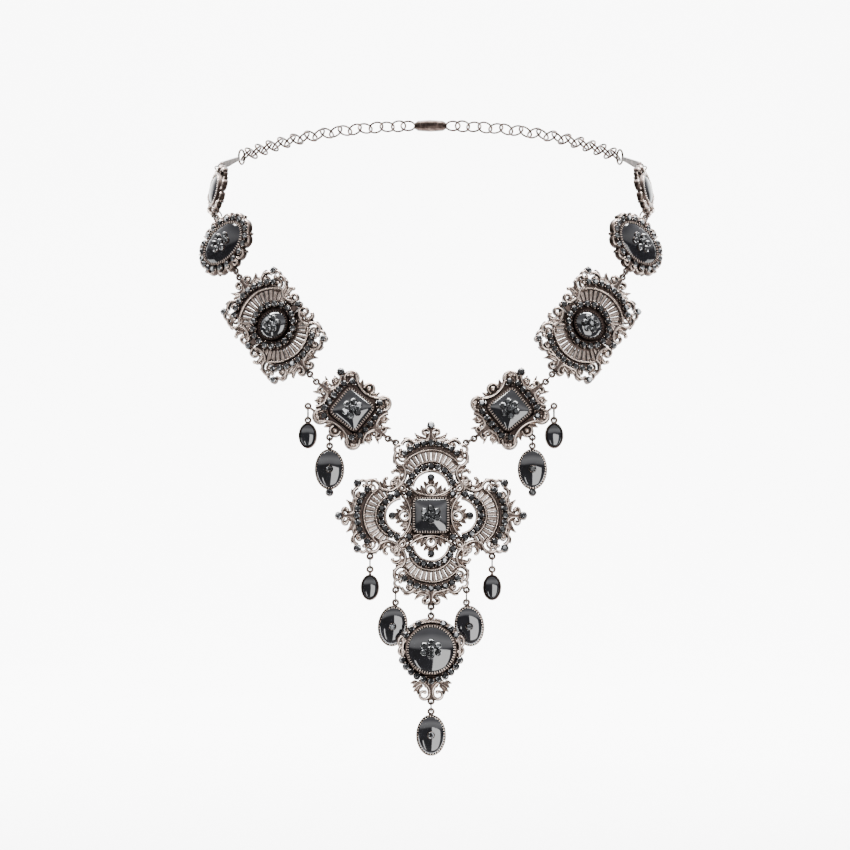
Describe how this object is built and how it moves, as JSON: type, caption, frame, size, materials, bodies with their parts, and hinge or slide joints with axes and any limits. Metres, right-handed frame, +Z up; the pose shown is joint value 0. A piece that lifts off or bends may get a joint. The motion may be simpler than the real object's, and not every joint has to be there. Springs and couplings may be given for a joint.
{
  "type": "cross pendant necklace",
  "caption": "Gothic cross pendant necklace of pierced metal links with dark cabochons, faceted stones and hanging drops, on a round-link back chain, held in its worn form",
  "frame": {"origin": "nape side of the clasp at the middle of the back chain, where the necklace rests on the back of the neck", "axes": "+X towards the wearer's left (the image's right), +Y from the front of the necklace to its back, +Z up; the cross's face looks along -Y and a little up"},
  "size_m": [0.162, 0.1551, 0.2248],
  "materials": {
    "castings": "antiqued dark silver, bright on the edges",
    "findings": "antiqued dark silver",
    "cabochons": "polished black",
    "small_stones": "polished black, faceted"
  },
  "bodies": {
    "root": {"cross_frame": "castings", "cross_stone": "cabochons", "cross_gems": "small_stones", "round_frame": "castings", "round_stone": "cabochons", "round_gems": "small_stones", "square_frame_left": "castings", "square_frame_right": "castings", "square_stone_left": "cabochons", "square_stone_right": "cabochons", "fan_frame_left": "castings", "fan_frame_right": "castings", "fan_stone_left": "cabochons", "fan_stone_right": "cabochons", "fan_gems_left": "small_stones", "fan_gems_right": "small_stones", "oval_frame_left": "castings", "oval_frame_right": "castings", "oval_stone_left": "cabochons", "oval_stone_right": "cabochons", "small_frame_left": "castings", "small_frame_right": "castings", "small_stone_left": "cabochons", "small_stone_right": "cabochons", "drop_tip": "castings", "drop_tip_stone": "cabochons", "drop_inner_left": "castings", "drop_inner_right": "castings", "drop_inner_stone_left": "cabochons", "drop_inner_stone_right": "cabochons", "drop_arm_left": "castings", "drop_arm_right": "castings", "drop_arm_stone_left": "cabochons", "drop_arm_stone_right": "cabochons", "drop_square_left": "castings", "drop_square_right": "castings", "drop_square_stone_left": "cabochons", "drop_square_stone_right": "cabochons", "drop_side_left": "castings", "drop_side_right": "castings", "drop_side_stone_left": "cabochons", "drop_side_stone_right": "cabochons", "jump_rings_left": "findings", "jump_rings_right": "findings", "jump_rings_middle": "findings", "chain_left": "findings", "chain_right": "findings", "clasp": "findings"}
  },
  "joints": []
}
